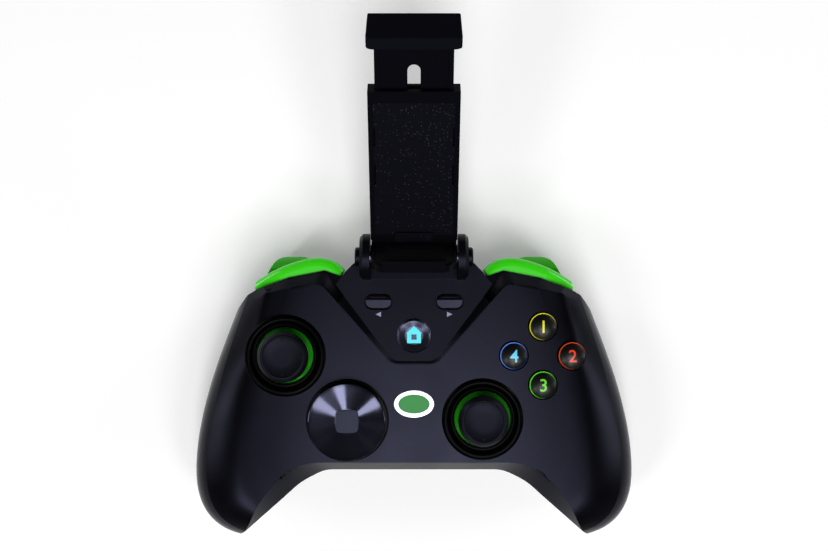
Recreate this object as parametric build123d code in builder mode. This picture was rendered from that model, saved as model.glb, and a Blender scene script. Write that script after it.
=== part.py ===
"""Gamepad with a phone clip. Millimetres, +Z up out of the face, +Y away from the player."""

from build123d import *
from math import asin, cos, hypot, radians, sin, sqrt, tan
import os

os.makedirs("parts", exist_ok=True)

# Casing
face_height = 40.0  # raised face above the table
waist_height = 24.0  # widest level of the casing
part_height = 33.0  # joint line between the two shells
wall = 2.4
tuck_width = 17.0  # how far the underside tucks in
belly_rise = 9.0  # height of the arch between the grips
belly_half_width = 34.0
belly_rear_y = -38.0
bridge_rear_y = 4.5  # rear wall between the bumpers
rear_round = 12.0  # height over which the rear wall rounds into the underside
rear_tuck = 3.0  # how far that rounding comes forward
seam_gap = 0.12
side_points = [
    (50.0, 18.0), (55.6, 6.0), (63.1, -13.0), (70.4, -32.5), (75.3, -50.0), (77.5, -66.5),
    (76.8, -76.5), (73.3, -84.5), (67.6, -89.4), (60.5, -91.9), (50.0, -93.2),
]
face_points = [  # where the face starts to roll off, one for each of the side points
    (35.0, 14.0), (40.6, 1.5), (46.2, -17.0), (48.0, -38.0), (47.5, -53.0), (47.5, -64.0),
    (47.0, -69.0), (46.0, -73.0), (44.5, -76.0), (41.5, -78.5), (34.0, -80.0),
]
lip_points = [
    (31.0, -63.9), (38.0, -64.6), (42.5, -66.1), (45.9, -68.4), (49.3, -71.8),
    (52.6, -75.9), (55.0, -80.0), (58.4, -86.8), (63.4, -97.5),
]
skirt_points = [
    (28.0, -67.6), (34.2, -69.2), (39.8, -72.4), (43.8, -75.9), (48.1, -79.7),
    (53.2, -84.2), (58.3, -88.7), (62.6, -92.6), (69.0, -98.4),
]
crotch_end_y = -125.0
clearance_rise = 0.4  # how far the cutting outlines stand above the face
shoulder_points = [(78.0, -31.5), (58.1, -6.8), (54.5, -4.8), (43.5, -0.8), (31.0, 1.7), (25.6, -0.2)]
facet_point = (55.5, -9.3, 36.5)  # flat at the rear corners of the shoulders
facet_normal = (0.9, 0.636, 1.0)
bridge_corner = (23.9, 1.4)
bridge_rear_half_width = 20.8
roll_steps = [0.0, 0.35, 0.6, 0.8, 0.93, 1.0]
tuck_steps = [1.0, 0.9, 0.7, 0.4]

# Lowered area behind the wings: V shaped in the middle, along the bumpers at the sides
floor_front_y = -29.4
floor_front_depth = 1.2
floor_tilt = 6.0
floor_points = [(7.3, -29.4), (31.0, 1.7), (43.5, -0.8), (80.0, -13.9)]
rim_points = [(7.7, -30.5), (32.1, -3.2), (45.5, -6.0), (80.0, -17.5)]
floor_radii = [5.0, 4.0, 25.0, 2.0]
terrace_end_y = 40.0
seam_inner = (26.3, -9.7)
seam_outer = (24.3, -7.1)
panel_notch = (27.3, -3.1)
panel_wall = 2.0
panel_rear_round = 1.2

# Sticks
stick_places = {"left": (-44.2, -27.5), "right": (23.5, -49.2)}
collar_radius = 14.0
collar_inner_radius = 11.4
collar_rise = 0.9
collar_depth = 1.2
collar_skirt_radius = 12.6
collar_skirt_depth = 3.2  # the skirt closes the collar where the face rolls off under it
stick_hole_radius = 9.75
trim_inner_radius = 7.9
trim_flange_radius = 11.2
cap_radius = 8.6
cap_top_radius = 7.4
cap_rise = 8.5  # cap's rim above the face
cap_depth = 3.2
stem_radius = 2.4
pivot_height = 31.0
module_side = 17.0
carrier_radius = 7.6
carrier_hole_radius = 5.7
carrier_height = 3.2
gimbal_radius = 5.0
gimbal_hole_radius = 3.2
gimbal_height = 2.6
axle_radius = 0.7
running_gap = 0.06

# Direction pad
dpad_place = (-22.8, -49.6)
dpad_ring_radius = 14.2
dpad_hole_radius = 13.5
dpad_radius = 13.1
dpad_rise = 6.0
dpad_dish_depth = 2.6
dpad_centre_side = 7.6
dpad_pivot_height = 34.0
dpad_post_radius = 1.7
dpad_axle_radius = 0.6
dpad_core_drop = 4.1  # from the rim to the underside of the disc
dpad_hub_radii = (4.5, 6.0)
dpad_hub_drop = 1.4
dpad_gimbal_radii = (2.3, 4.0)

# Buttons
cluster_place = (44.2, -27.5)
cluster_radius = 10.0
button_radius = 4.7
button_hole_radius = 5.2
button_rise = 1.8
button_travel = 1.2
button_foot_radius = 3.0
button_flange_width = 1.1
button_tube_wall = 1.2
membrane_radius = 15.0
membrane_thickness = 0.8
tube_foot = 33.4  # lower end of the tubes that guide the face buttons
pill_place = (12.3, -9.1)
pill_length = 9.0
pill_width = 4.7
pill_gap = 0.4
home_y = -20.7
home_radius = 5.5
small_travel = 0.7

# Bumpers and triggers
bumper_top = 35.0
bumper_slope_x = 46.0  # outside this the top slopes down
bumper_slope = 0.18
bumper_bottom = 27.5
bumper_round = 3.0
bumper_rear_points = [(24.2, 1.9), (28.9, 5.4), (33.0, 6.2), (41.0, 4.9), (48.0, 2.2), (55.2, -2.0)]
bumper_pivot = (28.4, -1.0)
bumper_pin_radius = 1.0
bumper_pin_length = 4.0
trigger_x = 43.6
trigger_half_width = 10.0
trigger_axis_y = -8.0
trigger_axis_height = 23.5
trigger_hub_radius = 3.0
trigger_pin_radius = 1.2
trigger_nose_y = 6.9
trigger_gap = 0.5
trigger_top_points = [(-1.0, 26.5), (2.5, 25.2)]
trigger_front_points = [(2.5, 25.2), (5.6, 19.5), (trigger_nose_y, 13.0), (5.8, 7.4), (4.4, 6.2)]
trigger_inside_points = [(4.4, 6.2), (2.6, 7.2), (0.6, 12.0), (-2.6, 17.0), (-6.0, 19.6)]
pocket_front_y = -12.0

# Inside
board_height = 26.0
board_thickness = 1.6
board_right_edge = [
    (20.5, 1.0), (20.5, -6.5), (28.0, -15.5), (54.0, -15.5), (61.0, -20.0), (65.0, -34.0), (65.0, -45.0),
    (56.0, -58.0), (40.0, -63.0),
]
boss_radius = 3.5
post_radius = 2.2  # the part of a screw boss that goes through the board
battery_size = (46.0, 27.0, 7.0)
battery_y = -21.5
motor_x = 58.5
motor_height = 15.5
motor_front_y = -58.0
motor_radius = 6.0
motor_length = 14.0
weight_radius = 8.0
weight_hub_radius = 2.4
weight_length = 5.0
shaft_radius = 1.0
motor_nose_radius = 2.5
motor_nose_length = 0.8
port_width = 8.9
port_thickness = 3.2
port_depth = 7.3
port_height = 24.4
screw_head_radius = 2.5
screw_head_height = 2.0
screw_radius = 1.25
screw_places = [(9.0, -60.8), (57.0, -40.0), (27.5, -16.0)]
screw_seats = [12.0, 6.0, 6.0]  # height of the seat under each screw's head
screw_tip = 36.8
badge_y = -44.0
badge_radii = (6.8, 4.6)
badge_inlay_radii = (5.4, 3.3)

# Phone clip
clip_tilt = 34.0
clip_origin = (13.7, 46.0)  # y and z of the plate's foot on its front face
axis_s = -7.25
axis_n = 2.48
plate_half_width = 14.65
plate_top = 52.6
plate_foot = -2.0
plate_depth = 6.0
plate_front_wall = 2.0
border_height = 4.0
front_panel_half_width = 13.0
front_panel_thickness = 1.0
tab_half_width = 6.3  # the front panel's hook, which lies in a cut in the lower pad
tab_reach = 3.6
side_notches = [(19.3, 26.7), (33.6, 40.0)]
side_notch_depth = 0.6
slider_half_width = 12.4
slider_thickness = 2.4
slider_foot = 21.0
slider_gap = 0.1
slot_half_width = 2.05
slot_foot = 25.5
slot_top = 60.6
jaw_inner = 73.2
jaw_outer = 76.6
jaw_half_width = 14.2
jaw_reach = 15.6
ledge_half_width = 14.0
ledge_reach = 14.7
ledge_foot = -5.5
ledge_lip = 4.4
ledge_lip_half_width = 10.5
barrel_radius = 4.2
bolt_radius = 2.0
ear_radius = 7.85
ear_inner = 14.9
ear_outer = 18.3
ear_bevel = 1.1
foot_front_y = -1.55
foot_rear_y = 4.6
foot_top = 38.0
knob_radius = 3.3
knob_outer = 20.0
jaw_top_foot = 74.4
ledge_top = -3.6
ledge_rim = -3.1
channel_foot = 4.5
small_screw_radius = 0.8
base_screw_x = 8.0
base_screw_y = -0.2
arm_screw_x = 11.0
arm_screw_n = -3.2
arm_screw_length = 9.8
guide_post_s = 38.0
guide_post_radius = 1.9


def level(height, x=0.0, y=0.0):
    """Horizontal plane at a height, with its origin over a point of the face."""
    return Plane(origin=(x, y, height))


def upright(x=0.0, y=0.0):
    """Plane facing the player, whose second direction is up."""
    return Plane(origin=(x, y, 0), x_dir=(1, 0, 0), z_dir=(0, -1, 0))


def side_view(x=0.0):
    """Plane across the pad: first direction +Y, second +Z."""
    return Plane(origin=(x, 0, 0), x_dir=(0, 1, 0), z_dir=(1, 0, 0))


def upward(x, y):
    return Axis((x, y, 0), (0, 0, 1))


def moved_points(points, distance):
    """Points of an open line, moved to its left by a distance."""
    moved = []
    for i, (x, y) in enumerate(points):
        x0, y0 = points[max(i - 1, 0)]
        x1, y1 = points[min(i + 1, len(points) - 1)]
        run = hypot(x1 - x0, y1 - y0)
        moved.append((x - (y1 - y0) / run * distance, y + (x1 - x0) / run * distance))
    return moved


def mirrored(points):
    return [(-x, y) for x, y in points]


def both_sides(points):
    """A right-hand line from the middle outwards, with its mirror image before it."""
    return list(reversed(mirrored(points))) + list(points)


def rounding(step):
    """Share of a quarter round's width that is used up at a share of its height."""
    return 1 - sqrt(1 - step**2)


def mirror_of(part):
    with BuildPart() as piece:
        mirror(part, about=Plane.YZ)
    return piece.part


def pad_section(height, inset, share=0.0):
    """Level outline of the casing, a share of the way from its widest outline to the face's."""
    points = [
        (x0 + (x1 - x0) * share, y0 + (y1 - y0) * share)
        for (x0, y0), (x1, y1) in zip(side_points, face_points)
    ]
    points = moved_points(points, -inset)
    with BuildSketch(level(height)) as section:
        with BuildLine():
            Spline(*points)
            Line(points[-1], mirrored(points)[-1])
            Spline(*reversed(mirrored(points)))
            Line(mirrored(points)[0], points[0])
        make_face()
    return section.sketch


def pad_form(inset):
    """The casing as one rounded form, before the gap between the grips and the rear are cut."""
    sections = []
    for step in tuck_steps:
        height = waist_height - (waist_height - inset) * step
        sections.append(pad_section(height, inset + (tuck_width - inset) * rounding(step)))
    for step in roll_steps:
        height = waist_height + (face_height - inset - waist_height) * step
        share = rounding(step)
        sections.append(pad_section(height, inset * (1 - share), share))
    with BuildPart() as form:
        loft(sections)
    return form.part


def crotch_section(height, points, spread):
    points = moved_points(points, spread)
    end_run = (points[-1][0] - points[-2][0], points[-1][1] - points[-2][1])
    end_x = points[-1][0]
    with BuildSketch(level(height)) as section:
        with BuildLine():
            Spline(*points, tangents=[(1, 0), end_run])
            Polyline(points[-1], (end_x, crotch_end_y), (-end_x, crotch_end_y), mirrored(points)[-1])
            Spline(*reversed(mirrored(points)), tangents=[(end_run[0], -end_run[1]), (1, 0)])
            Line(mirrored(points)[0], points[0])
        make_face()
    return section.sketch


def crotch_form(spread):
    """What is missing between the grips: a straight lip above, a rounded wall below."""
    with BuildPart() as form:
        loft(
            [
                crotch_section(part_height, skirt_points, spread),
                crotch_section(face_height + clearance_rise, lip_points, spread),
            ],
            ruled=True,
        )
        extrude(crotch_section(face_height + clearance_rise, lip_points, spread), amount=5)
    with BuildPart() as under:
        loft(
            [
                crotch_section(-1.0, skirt_points, spread + 11),
                crotch_section(8.0, skirt_points, spread + 5),
                crotch_section(20.0, skirt_points, spread + 1.2),
                crotch_section(part_height, skirt_points, spread),
            ]
        )
    return form.part, under.part


def facet_form(inset):
    """What the flat at the right shoulder cuts off."""
    size = hypot(*facet_normal)
    origin = [place - inset * part / size for place, part in zip(facet_point, facet_normal)]
    with BuildPart() as form:
        with BuildSketch(Plane(origin=origin, z_dir=facet_normal)):
            Rectangle(60, 60)
        extrude(amount=25)
    return form.part


def floor_plane(drop=0.0):
    """Plane of the lowered floor, tilted down towards the rear."""
    tilt = radians(floor_tilt)
    return Plane(
        origin=(0, floor_front_y, face_height - floor_front_depth - drop),
        x_dir=(1, 0, 0),
        z_dir=(0, sin(tilt), cos(tilt)),
    )


def floor_height(y):
    return face_height - floor_front_depth - (y - floor_front_y) * tan(radians(floor_tilt))


def on_floor(points):
    stretch = cos(radians(floor_tilt))
    return [(x, (y - floor_front_y) / stretch) for x, y in points]


def terrace_outline(points, end_y):
    line = both_sides(points)
    radii = list(reversed(floor_radii)) + floor_radii
    far = (line[-1][0], end_y)
    FilletPolyline(*([mirrored([far])[0]] + line + [far]), radius=radii)
    Line(far, mirrored([far])[0])


def terrace_form(grow):
    """Everything above the lowered floor, with its sloped wall; grow thickens it all round."""
    with BuildSketch(floor_plane(grow)) as low:
        with BuildLine():
            terrace_outline(on_floor(moved_points(floor_points, -grow)), terrace_end_y)
        make_face()
    with BuildSketch(level(face_height + clearance_rise)) as high:
        with BuildLine():
            terrace_outline(moved_points(rim_points, -grow), terrace_end_y)
        make_face()
    with BuildPart() as form:
        loft([low.sketch, high.sketch], ruled=True)
        extrude(high.sketch, amount=6)
    return form.part


def rear_outline(grow):
    rear = [bridge_corner, (bridge_rear_half_width, bridge_rear_y)]
    points = [(x, y - grow) for x, y in reversed(shoulder_points + rear)]
    far = [(90.0, points[-1][1]), (90.0, 80.0)]
    Polyline(*(both_sides(points + far)), close=True)


def rear_form(grow):
    """Everything behind the casing's rear edge."""
    with BuildPart() as form:
        with BuildSketch(level(-5.0)):
            with BuildLine():
                rear_outline(grow)
            make_face()
        extrude(amount=face_height + 20)
    return form.part


def casing(inset):
    """The closed casing moved inwards by an inset: 0 is its outside, the wall is its inside."""
    crotch_lip, crotch_under = crotch_form(inset)
    with BuildPart() as form:
        add(pad_form(inset))
        add(crotch_lip, mode=Mode.SUBTRACT)
        add(crotch_under, mode=Mode.SUBTRACT)
        add(terrace_form(inset), mode=Mode.SUBTRACT)
        add(facet_form(inset), mode=Mode.SUBTRACT)
        add(mirror_of(facet_form(inset)), mode=Mode.SUBTRACT)
        add(rear_form(inset), mode=Mode.SUBTRACT)
        with BuildSketch(upright(0, belly_rear_y + inset)):
            with BuildLine():
                arch = belly_half_width + inset
                Polyline(
                    (-arch - 8, -1), (-arch, belly_rise + inset), (arch, belly_rise + inset), (arch + 8, -1),
                    close=True,
                )
            make_face()
        extrude(amount=70, mode=Mode.SUBTRACT)
        with BuildSketch(side_view(-90)):
            with BuildLine():
                rear = bridge_rear_y - inset
                start = bridge_rear_y - rear_tuck
                Spline((rear, rear_round), (start, inset), tangents=[(0, -1), (-1, 0)])
                far = rear + 6
                Polyline((start, inset), (start, -1), (far, -1), (far, rear_round), (rear, rear_round))
            make_face()
        extrude(amount=180, mode=Mode.SUBTRACT)
    return form.part


def keep_side(direction):
    """Keeps what is above the joint line (1) or below it (-1)."""
    with BuildSketch(level(part_height)) as area:
        Rectangle(400, 400)
    extrude(area.sketch, amount=60 * direction, mode=Mode.INTERSECT)


def turned(x, y, points):
    """Solid of revolution about an upright line, from (radius, height) points."""
    with BuildPart() as piece:
        with BuildSketch(upright(x, y)):
            with BuildLine():
                Polyline(*[(radius, height) for radius, height in points], close=True)
            make_face()
        revolve(axis=upward(x, y))
    return piece.part


def rod(start, direction, radius, length):
    """Round rod from a point along a direction."""
    with BuildPart() as piece:
        with BuildSketch(Plane(origin=start, z_dir=direction)):
            Circle(radius)
        extrude(amount=length)
    return piece.part


def plan_prism(points, bottom, top):
    """Upright prism over a plan outline."""
    with BuildPart() as piece:
        with BuildSketch(level(bottom)):
            with BuildLine():
                Polyline(*points, close=True)
            make_face()
        extrude(amount=top - bottom)
    return piece.part


def block(low, high):
    """Box between two opposite corners."""
    with BuildPart() as piece:
        with BuildSketch(level(low[2], (low[0] + high[0]) / 2, (low[1] + high[1]) / 2)):
            Rectangle(high[0] - low[0], high[1] - low[1])
        extrude(amount=high[2] - low[2])
    return piece.part


def save(part, name):
    part.label = name
    export_step(part, "parts/" + name + ".step")


outside = casing(0.0)
inside = casing(wall)

# Room for the bumpers and triggers at the rear corners
notch_top = bumper_top + 0.15
notch_bottom = bumper_bottom - 0.3


def notch_points(grow):
    front = [(27.4, -3.5), (33.5, -2.3), (43.0, -3.3), (55.9, -8.0)]
    front = moved_points(front, -grow)
    inner_x = bridge_corner[0] - 0.1 - grow
    return [(inner_x, 12.0), (inner_x, 1.1)] + front + [(56.1 + grow, -4.0), (56.1 + grow, 12.0)]


def pocket(grow):
    low = (trigger_x - trigger_half_width - trigger_gap - grow, pocket_front_y - grow, -5)
    high = (trigger_x + trigger_half_width + trigger_gap + grow, 12, notch_bottom)
    return block(low, high)


def above_slope(top):
    """What the slope at the bumper's outer end cuts off."""
    far = bumper_slope_x + 20
    with BuildPart() as form:
        with BuildSketch(upright(0, 20)):
            with BuildLine():
                low = top - 20 * bumper_slope
                high = top + 5
                Polyline((bumper_slope_x, top), (far, low), (far, high), (bumper_slope_x, high), close=True)
            make_face()
        extrude(amount=50)
    return form.part


with BuildPart() as notch:
    add(plan_prism(notch_points(0.0), notch_bottom, notch_top))
    add(above_slope(notch_top), mode=Mode.SUBTRACT)
right_notch = notch.part
right_notch_walls = plan_prism(notch_points(wall), notch_bottom - wall, notch_top + wall)
right_pocket = pocket(0.0)
right_pocket_walls = pocket(2.0)
screw_places = screw_places + mirrored(screw_places)
screw_seats = screw_seats + screw_seats


def panel_outline(gap):
    points = [rim_points[0], seam_inner, seam_outer, panel_notch, bridge_corner]
    points.append((bridge_rear_half_width, bridge_rear_y))
    with BuildSketch(level(part_height)) as outline:
        with BuildLine():
            Polyline(*(both_sides(points)), close=True)
        make_face()
        corners = outline.vertices().group_by(Axis.Y)[0]
        fillet(corners, floor_radii[0])
        if gap > 0:
            offset(amount=-gap, kind=Kind.INTERSECTION)
    return outline.sketch


# Top shell
cluster_x, cluster_y = cluster_place
button_places = [
    (cluster_x + cluster_radius, cluster_y), (cluster_x, cluster_y + cluster_radius),
    (cluster_x - cluster_radius, cluster_y), (cluster_x, cluster_y - cluster_radius),
]
with BuildPart() as top_cavity:
    add(inside)
    keep_side(1)
    for x, y in screw_places:
        with BuildSketch(level(part_height, x, y)):
            Circle(3.0)
        extrude(amount=20, mode=Mode.SUBTRACT)
    for x, y in button_places:
        with BuildSketch(level(tube_foot, x, y)):
            Circle(button_hole_radius + button_tube_wall)
        extrude(amount=20, mode=Mode.SUBTRACT)
    for x, y in stick_places.values():
        with BuildSketch(level(face_height - collar_skirt_depth - 1.4, x, y)):
            Circle(collar_radius + 1.2)
            Circle(collar_skirt_radius - 0.4, mode=Mode.SUBTRACT)
        extrude(amount=10, mode=Mode.SUBTRACT)
with BuildPart() as top_shell:
    add(outside)
    keep_side(1)
    add(top_cavity.part, mode=Mode.SUBTRACT)
    extrude(panel_outline(0.0), amount=20, mode=Mode.SUBTRACT)
    for notch in (right_notch, mirror_of(right_notch)):
        add(notch, mode=Mode.SUBTRACT)
    for x, y in screw_places:
        with BuildSketch(level(part_height, x, y)):
            Circle(screw_radius)
        extrude(amount=4.0, mode=Mode.SUBTRACT)
    for x, y in stick_places.values():
        with BuildSketch(level(face_height + 2, x, y)):
            Circle(stick_hole_radius)
        extrude(amount=-8, mode=Mode.SUBTRACT)
        with BuildSketch(level(face_height - wall, x, y)):
            Circle(trim_flange_radius + 0.1)
        extrude(amount=-4, mode=Mode.SUBTRACT)
        with BuildSketch(level(face_height - collar_depth, x, y)):
            Circle(collar_radius)
            Circle(collar_inner_radius, mode=Mode.SUBTRACT)
        extrude(amount=4, mode=Mode.SUBTRACT)
        with BuildSketch(level(face_height - collar_skirt_depth, x, y)):
            Circle(collar_radius)
            Circle(collar_skirt_radius, mode=Mode.SUBTRACT)
        extrude(amount=6, mode=Mode.SUBTRACT)
    with BuildSketch(level(face_height + 2, *dpad_place)):
        Circle(dpad_hole_radius)
    extrude(amount=-8, mode=Mode.SUBTRACT)
    with BuildSketch(level(face_height - collar_depth, *dpad_place)):
        Circle(dpad_ring_radius)
    extrude(amount=4, mode=Mode.SUBTRACT)
    for x, y in button_places:
        with BuildSketch(level(face_height + 2, x, y)):
            Circle(button_hole_radius)
        extrude(amount=-10, mode=Mode.SUBTRACT)
save(top_shell.part, "top_shell")

# Rear shell
with BuildPart() as cavity:
    add(inside)
    keep_side(-1)
    for walls in (right_notch_walls, right_pocket_walls):
        add(walls, mode=Mode.SUBTRACT)
        add(mirror_of(walls), mode=Mode.SUBTRACT)
    for x, y in screw_places:
        with BuildSketch(level(-5, x, y)):
            Circle(boss_radius)
        extrude(amount=board_height + 5, mode=Mode.SUBTRACT)
        with BuildSketch(level(board_height, x, y)):
            Circle(post_radius)
        extrude(amount=part_height - board_height, mode=Mode.SUBTRACT)
    for x in (motor_x, -motor_x):
        cradle_low = (x - motor_radius - 1, motor_front_y + 1, -5)
        cradle_high = (x + motor_radius + 1, motor_front_y + motor_length - 2, motor_height)
        add(block(cradle_low, cradle_high), mode=Mode.SUBTRACT)
with BuildPart() as rear_shell:
    add(outside)
    keep_side(-1)
    add(cavity.part, mode=Mode.SUBTRACT)
    for room in (right_notch, right_pocket):
        add(room, mode=Mode.SUBTRACT)
        add(mirror_of(room), mode=Mode.SUBTRACT)
    for (x, y), seat in zip(screw_places, screw_seats):
        with BuildSketch(level(-1, x, y)):
            Circle(screw_head_radius + 0.1)
        extrude(amount=seat + 1, mode=Mode.SUBTRACT)
        with BuildSketch(level(0, x, y)):
            Circle(screw_radius)
        extrude(amount=part_height, mode=Mode.SUBTRACT)
    for x in (motor_x, -motor_x):
        motor_bed = rod((x, motor_front_y, motor_height), (0, 1, 0), motor_radius, motor_length)
        add(motor_bed, mode=Mode.SUBTRACT)
    with BuildSketch(upright(0, bridge_rear_y + 1)):
        with Locations((0, port_height)):
            RectangleRounded(port_width + 0.4, port_thickness + 0.4, (port_thickness + 0.4) / 2 - 0.05)
    extrude(amount=wall + 2, mode=Mode.SUBTRACT)
    pin_start = trigger_x - trigger_half_width - trigger_gap - 1.5
    pin_length = 2 * (trigger_half_width + trigger_gap + 1.5)
    pin_origin = (pin_start, trigger_axis_y, trigger_axis_height)
    pin_seat = rod(pin_origin, (1, 0, 0), trigger_pin_radius, pin_length)
    x, y = bumper_pivot
    hole_depth = bumper_pin_length + 1.3
    pin_hole = rod((x, y, notch_bottom + 1), (0, 0, -1), bumper_pin_radius + running_gap, hole_depth)
    for hole in (pin_seat, pin_hole):
        add(hole, mode=Mode.SUBTRACT)
        add(mirror_of(hole), mode=Mode.SUBTRACT)
save(rear_shell.part, "rear_shell")

# Centre panel
with BuildPart() as under_floor:
    extrude(panel_outline(panel_wall), amount=20)
    split(bisect_by=floor_plane(panel_wall), keep=Keep.BOTTOM)
with BuildPart() as centre_panel:
    add(outside)
    extrude(panel_outline(seam_gap), amount=20, mode=Mode.INTERSECT)
    add(under_floor.part, mode=Mode.SUBTRACT)


# Sticks
def build_stick(side, x, y):
    crest = face_height + collar_rise
    with BuildPart() as collar:
        with BuildSketch(upright(x, y)):
            with BuildLine():
                low = face_height - collar_depth
                foot = face_height - collar_skirt_depth
                inner_edge = (collar_inner_radius, crest - 0.6)
                outer_edge = (collar_radius, face_height + 0.1)
                Polyline(
                    inner_edge, (collar_inner_radius, low), (collar_skirt_radius, low),
                    (collar_skirt_radius, foot), (collar_radius, foot), outer_edge,
                )
                middle = (collar_inner_radius + collar_radius) / 2
                ThreePointArc(outer_edge, (middle, crest), inner_edge)
            make_face()
        revolve(axis=upward(x, y))
    save(collar.part, side + "_stick_collar")

    roof = face_height - wall
    lip = stick_hole_radius - 0.1
    trim = turned(
        x, y,
        [
            (trim_inner_radius, roof - 0.7), (trim_flange_radius, roof - 0.7), (trim_flange_radius, roof),
            (lip, roof), (lip, face_height - 1.2), (lip - 0.5, face_height - 1.0),
            (trim_inner_radius, roof + 0.4),
        ],
    )
    save(trim, side + "_stick_trim")

    top = face_height + cap_rise
    foot = top - cap_depth
    neck_foot = foot - 2.3
    stem_top = top - 2.6
    cap = turned(
        x, y,
        [
            (0, stem_top), (stem_radius, stem_top), (stem_radius, neck_foot), (stem_radius + 1.2, neck_foot),
            (stem_radius + 1.2, foot), (cap_radius - 0.4, foot), (cap_radius, foot + 0.5),
            (cap_radius, foot + 1.6), (cap_top_radius, top), (cap_top_radius - 0.8, top), (5.2, top - 0.9),
            (0, top - 1.2),
        ],
    )
    save(cap, side + "_stick_cap")

    with BuildPart() as stem:
        low = pivot_height - 1.8
        add(turned(x, y, [(0, low), (stem_radius, low), (stem_radius, stem_top), (0, stem_top)]))
        half = gimbal_radius - 0.3
        add(rod((x, y - half, pivot_height), (0, 1, 0), axle_radius, 2 * half))
    save(stem.part, side + "_stick_stem")

    low = pivot_height - gimbal_height / 2
    high = pivot_height + gimbal_height / 2
    with BuildPart() as gimbal:
        add(
            turned(
                x, y,
                [
                    (gimbal_hole_radius, low), (gimbal_radius, low), (gimbal_radius, high),
                    (gimbal_hole_radius, high),
                ],
            )
        )
        stub_start = gimbal_hole_radius + 0.5
        stub_length = carrier_radius - 0.4 - stub_start
        add(rod((x + stub_start, y, pivot_height), (1, 0, 0), axle_radius, stub_length))
        add(rod((x - stub_start, y, pivot_height), (-1, 0, 0), axle_radius, stub_length))
        bore = rod((x, y - 8, pivot_height), (0, 1, 0), axle_radius + running_gap, 16)
        add(bore, mode=Mode.SUBTRACT)
    save(gimbal.part, side + "_stick_gimbal")

    low = pivot_height - carrier_height / 2
    high = pivot_height + carrier_height / 2
    with BuildPart() as carrier:
        add(
            turned(
                x, y,
                [
                    (carrier_hole_radius, low), (carrier_radius, low), (carrier_radius, high),
                    (carrier_hole_radius, high),
                ],
            )
        )
        bore = rod((x - 10, y, pivot_height), (1, 0, 0), axle_radius + running_gap, 20)
        add(bore, mode=Mode.SUBTRACT)
    save(carrier.part, side + "_stick_carrier")

    module_foot = board_height + board_thickness
    module_top = face_height - wall - 1.0
    with BuildPart() as module:
        with BuildSketch(level(module_foot, x, y)):
            RectangleRounded(module_side, module_side, 1.0)
        extrude(amount=module_top - module_foot)
        with BuildSketch(level(module_foot, x, y)):
            Circle(carrier_radius + running_gap)
        extrude(amount=module_top - module_foot - 0.8, mode=Mode.SUBTRACT)
        with BuildSketch(level(module_foot, x, y)):
            Circle(gimbal_radius + 0.2)
        extrude(amount=module_top - module_foot, mode=Mode.SUBTRACT)
    save(module.part, side + "_stick_module")


for side, (x, y) in stick_places.items():
    build_stick(side, x, y)

# Direction pad
x, y = dpad_place
ring_low = face_height - collar_depth
ring_high = face_height + 0.4
dpad_ring = turned(
    x, y,
    [
        (dpad_hole_radius, ring_low), (dpad_ring_radius, ring_low), (dpad_ring_radius, ring_high - 0.3),
        (dpad_ring_radius - 0.3, ring_high), (dpad_hole_radius, ring_high),
    ],
)
save(dpad_ring, "dpad_ring")
rim_height = face_height + dpad_rise
skirt_foot = face_height - wall - 0.6
core_foot = rim_height - dpad_core_drop
hub_foot = dpad_pivot_height - dpad_hub_drop
with BuildPart() as dpad_disc:
    add(
        turned(
            x, y,
            [
                (0, core_foot), (dpad_radius - 1.8, core_foot), (dpad_radius - 1.8, skirt_foot),
                (dpad_radius - 0.5, skirt_foot), (dpad_radius, rim_height - 0.4),
                (dpad_radius - 0.3, rim_height), (0, rim_height),
            ],
        )
    )
    with BuildSketch(level(rim_height + 0.01, x, y)) as rim:
        Circle(dpad_radius - 0.4)
    with BuildSketch(level(rim_height - dpad_dish_depth, x, y)) as centre:
        RectangleRounded(dpad_centre_side, dpad_centre_side, 1.5)
    loft([centre.sketch, rim.sketch], ruled=True, mode=Mode.SUBTRACT)
    add(
        turned(
            x, y,
            [
                (dpad_hub_radii[0], hub_foot), (dpad_hub_radii[1], hub_foot), (dpad_hub_radii[1], core_foot),
                (dpad_hub_radii[0], core_foot),
            ],
        )
    )
    bore = rod((x, y - 8, dpad_pivot_height), (0, 1, 0), dpad_axle_radius + running_gap, 16)
    add(bore, mode=Mode.SUBTRACT)
save(dpad_disc.part, "dpad_disc")
gimbal_hole, gimbal_rim = dpad_gimbal_radii
with BuildPart() as dpad_gimbal:
    add(
        turned(
            x, y,
            [
                (gimbal_hole, dpad_pivot_height - 1), (gimbal_rim, dpad_pivot_height - 1),
                (gimbal_rim, dpad_pivot_height + 1), (gimbal_hole, dpad_pivot_height + 1),
            ],
        )
    )
    for way in (1, -1):
        add(rod((x, y + 3.0 * way, dpad_pivot_height), (0, way, 0), dpad_axle_radius, 2.8))
    bore = rod((x - 8, y, dpad_pivot_height), (1, 0, 0), dpad_axle_radius + running_gap, 16)
    add(bore, mode=Mode.SUBTRACT)
save(dpad_gimbal.part, "dpad_gimbal")
with BuildPart() as dpad_post:
    foot = board_height + board_thickness
    add(
        turned(
            x, y,
            [
                (0, foot), (4.0, foot), (4.0, foot + 1.5), (dpad_post_radius, foot + 2.5),
                (dpad_post_radius, dpad_pivot_height + 1.2), (0, dpad_pivot_height + 1.2),
            ],
        )
    )
    add(rod((x - 3.6, y, dpad_pivot_height), (1, 0, 0), dpad_axle_radius, 7.2))
save(dpad_post.part, "dpad_post")

# Face buttons and the rubber sheet under them
button_foot = board_height + board_thickness + 4.0


def dome_arc(radius, low, high):
    """Arc over the axis, from a rim up to the crown."""
    rise = high - low
    sphere = (radius**2 + rise**2) / (2 * rise)
    half_turn = asin(radius / sphere) / 2
    middle = (sphere * sin(half_turn), high - sphere * (1 - cos(half_turn)))
    ThreePointArc((radius, low), middle, (0, high))


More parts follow.
